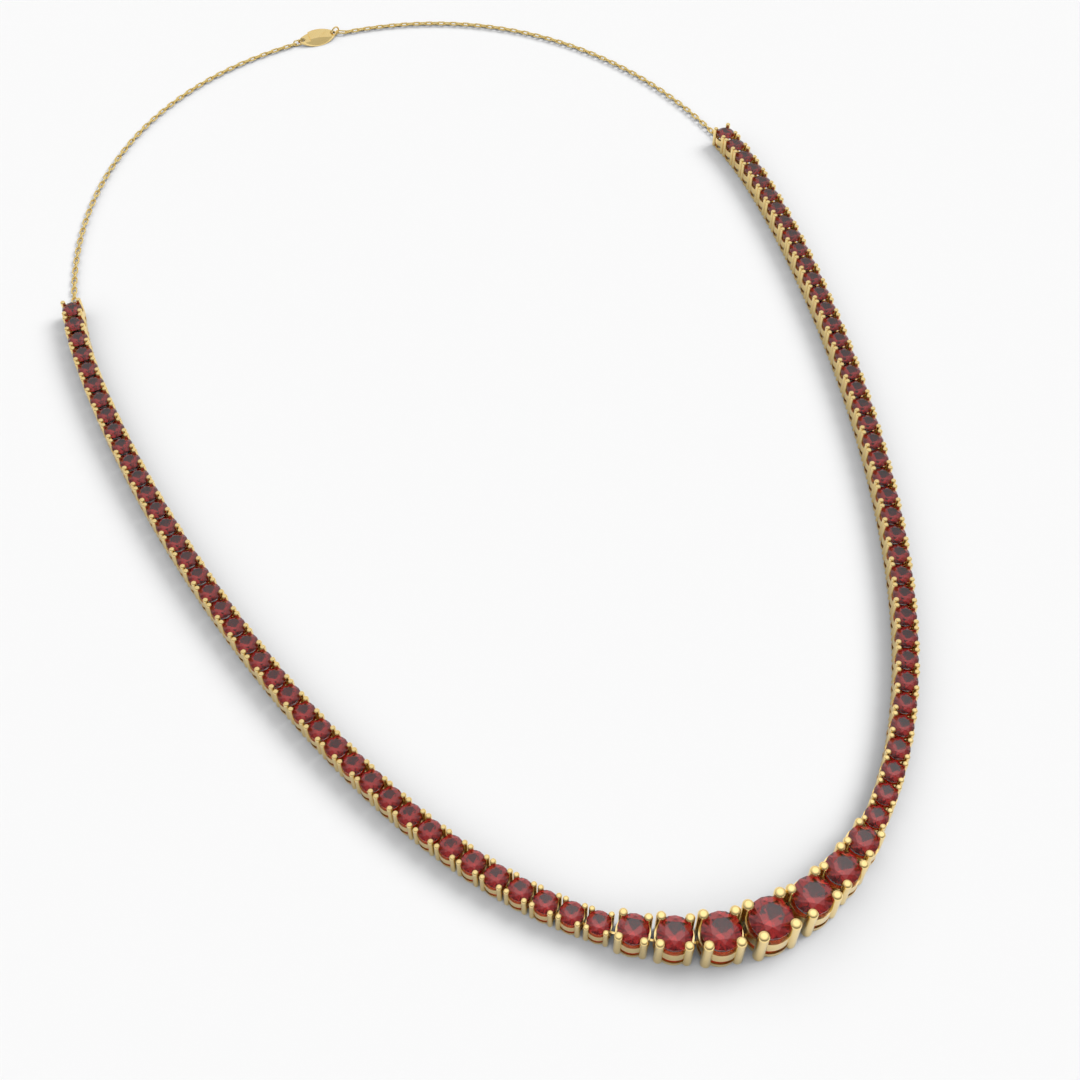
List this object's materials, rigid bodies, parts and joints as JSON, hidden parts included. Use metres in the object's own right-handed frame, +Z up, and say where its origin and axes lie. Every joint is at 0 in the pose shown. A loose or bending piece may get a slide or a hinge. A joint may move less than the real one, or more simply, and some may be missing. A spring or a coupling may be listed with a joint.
{
  "type": "ruby necklace",
  "caption": "Closed necklace of round claw-set stones that grow towards the middle, on a hinged gold line that ends in two fine cable chains and a leaf-shaped clasp.",
  "frame": {"origin": "centre of the laid-out loop in plan, on the plane it lies on", "axes": "+X towards the wearer's left in plan (the right in the picture), +Y from the middle stone to the clasp, +Z up through the stones' tables"},
  "size_m": [0.1008, 0.1632, 0.0054],
  "materials": {
    "gold": "polished yellow gold",
    "ruby": "polished cut ruby, deep red"
  },
  "bodies": {
    "root": {"setting_mid": "gold", "setting_left_1": "gold", "setting_left_2": "gold", "setting_left_3": "gold", "setting_right_1": "gold", "setting_right_2": "gold", "setting_right_3": "gold", "settings_left": "gold", "settings_right": "gold", "chain_left": "gold", "chain_right": "gold", "clasp": "gold", "jump_ring": "gold", "ruby_mid": "ruby", "ruby_left_1": "ruby", "ruby_left_2": "ruby", "ruby_left_3": "ruby", "ruby_right_1": "ruby", "ruby_right_2": "ruby", "ruby_right_3": "ruby", "rubies_left": "ruby", "rubies_right": "ruby"}
  },
  "joints": []
}
